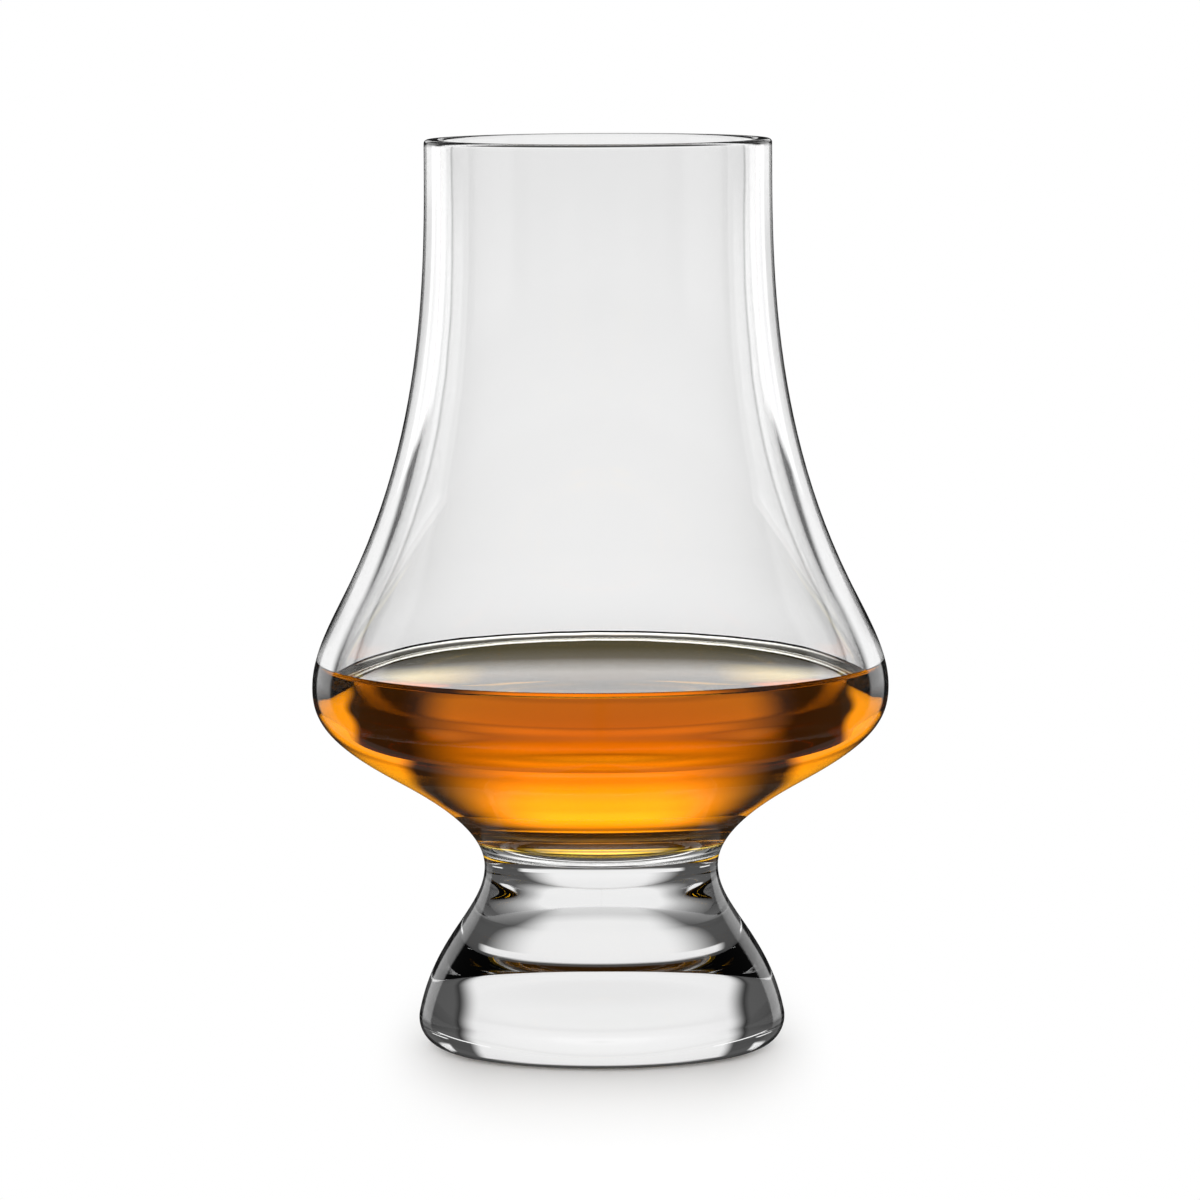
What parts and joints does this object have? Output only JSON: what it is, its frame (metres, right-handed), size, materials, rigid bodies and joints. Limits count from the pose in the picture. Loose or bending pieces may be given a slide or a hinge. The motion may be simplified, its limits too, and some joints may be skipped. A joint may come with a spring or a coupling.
{
  "type": "whisky nosing glass",
  "caption": "clear tulip nosing glass with a narrow chimney, a solid flared foot hollowed underneath and a pour of amber whisky",
  "frame": {"origin": "middle of the flat ring that the glass stands on", "axes": "+Z is the axis of the glass and points up, from the foot to the rim; the glass is the same all round, so +X and +Y are free"},
  "size_m": [0.0806, 0.0806, 0.127],
  "materials": {
    "clear_glass": "clear soda-lime glass, blown into a bowl with a fire-polished rim and pressed solid in the foot",
    "whisky": "clear amber spirit, burnt orange under its surface and yellow where it is thin"
  },
  "bodies": {
    "root": {"bowl": "clear_glass", "foot": "clear_glass", "whisky": "whisky"}
  },
  "joints": []
}
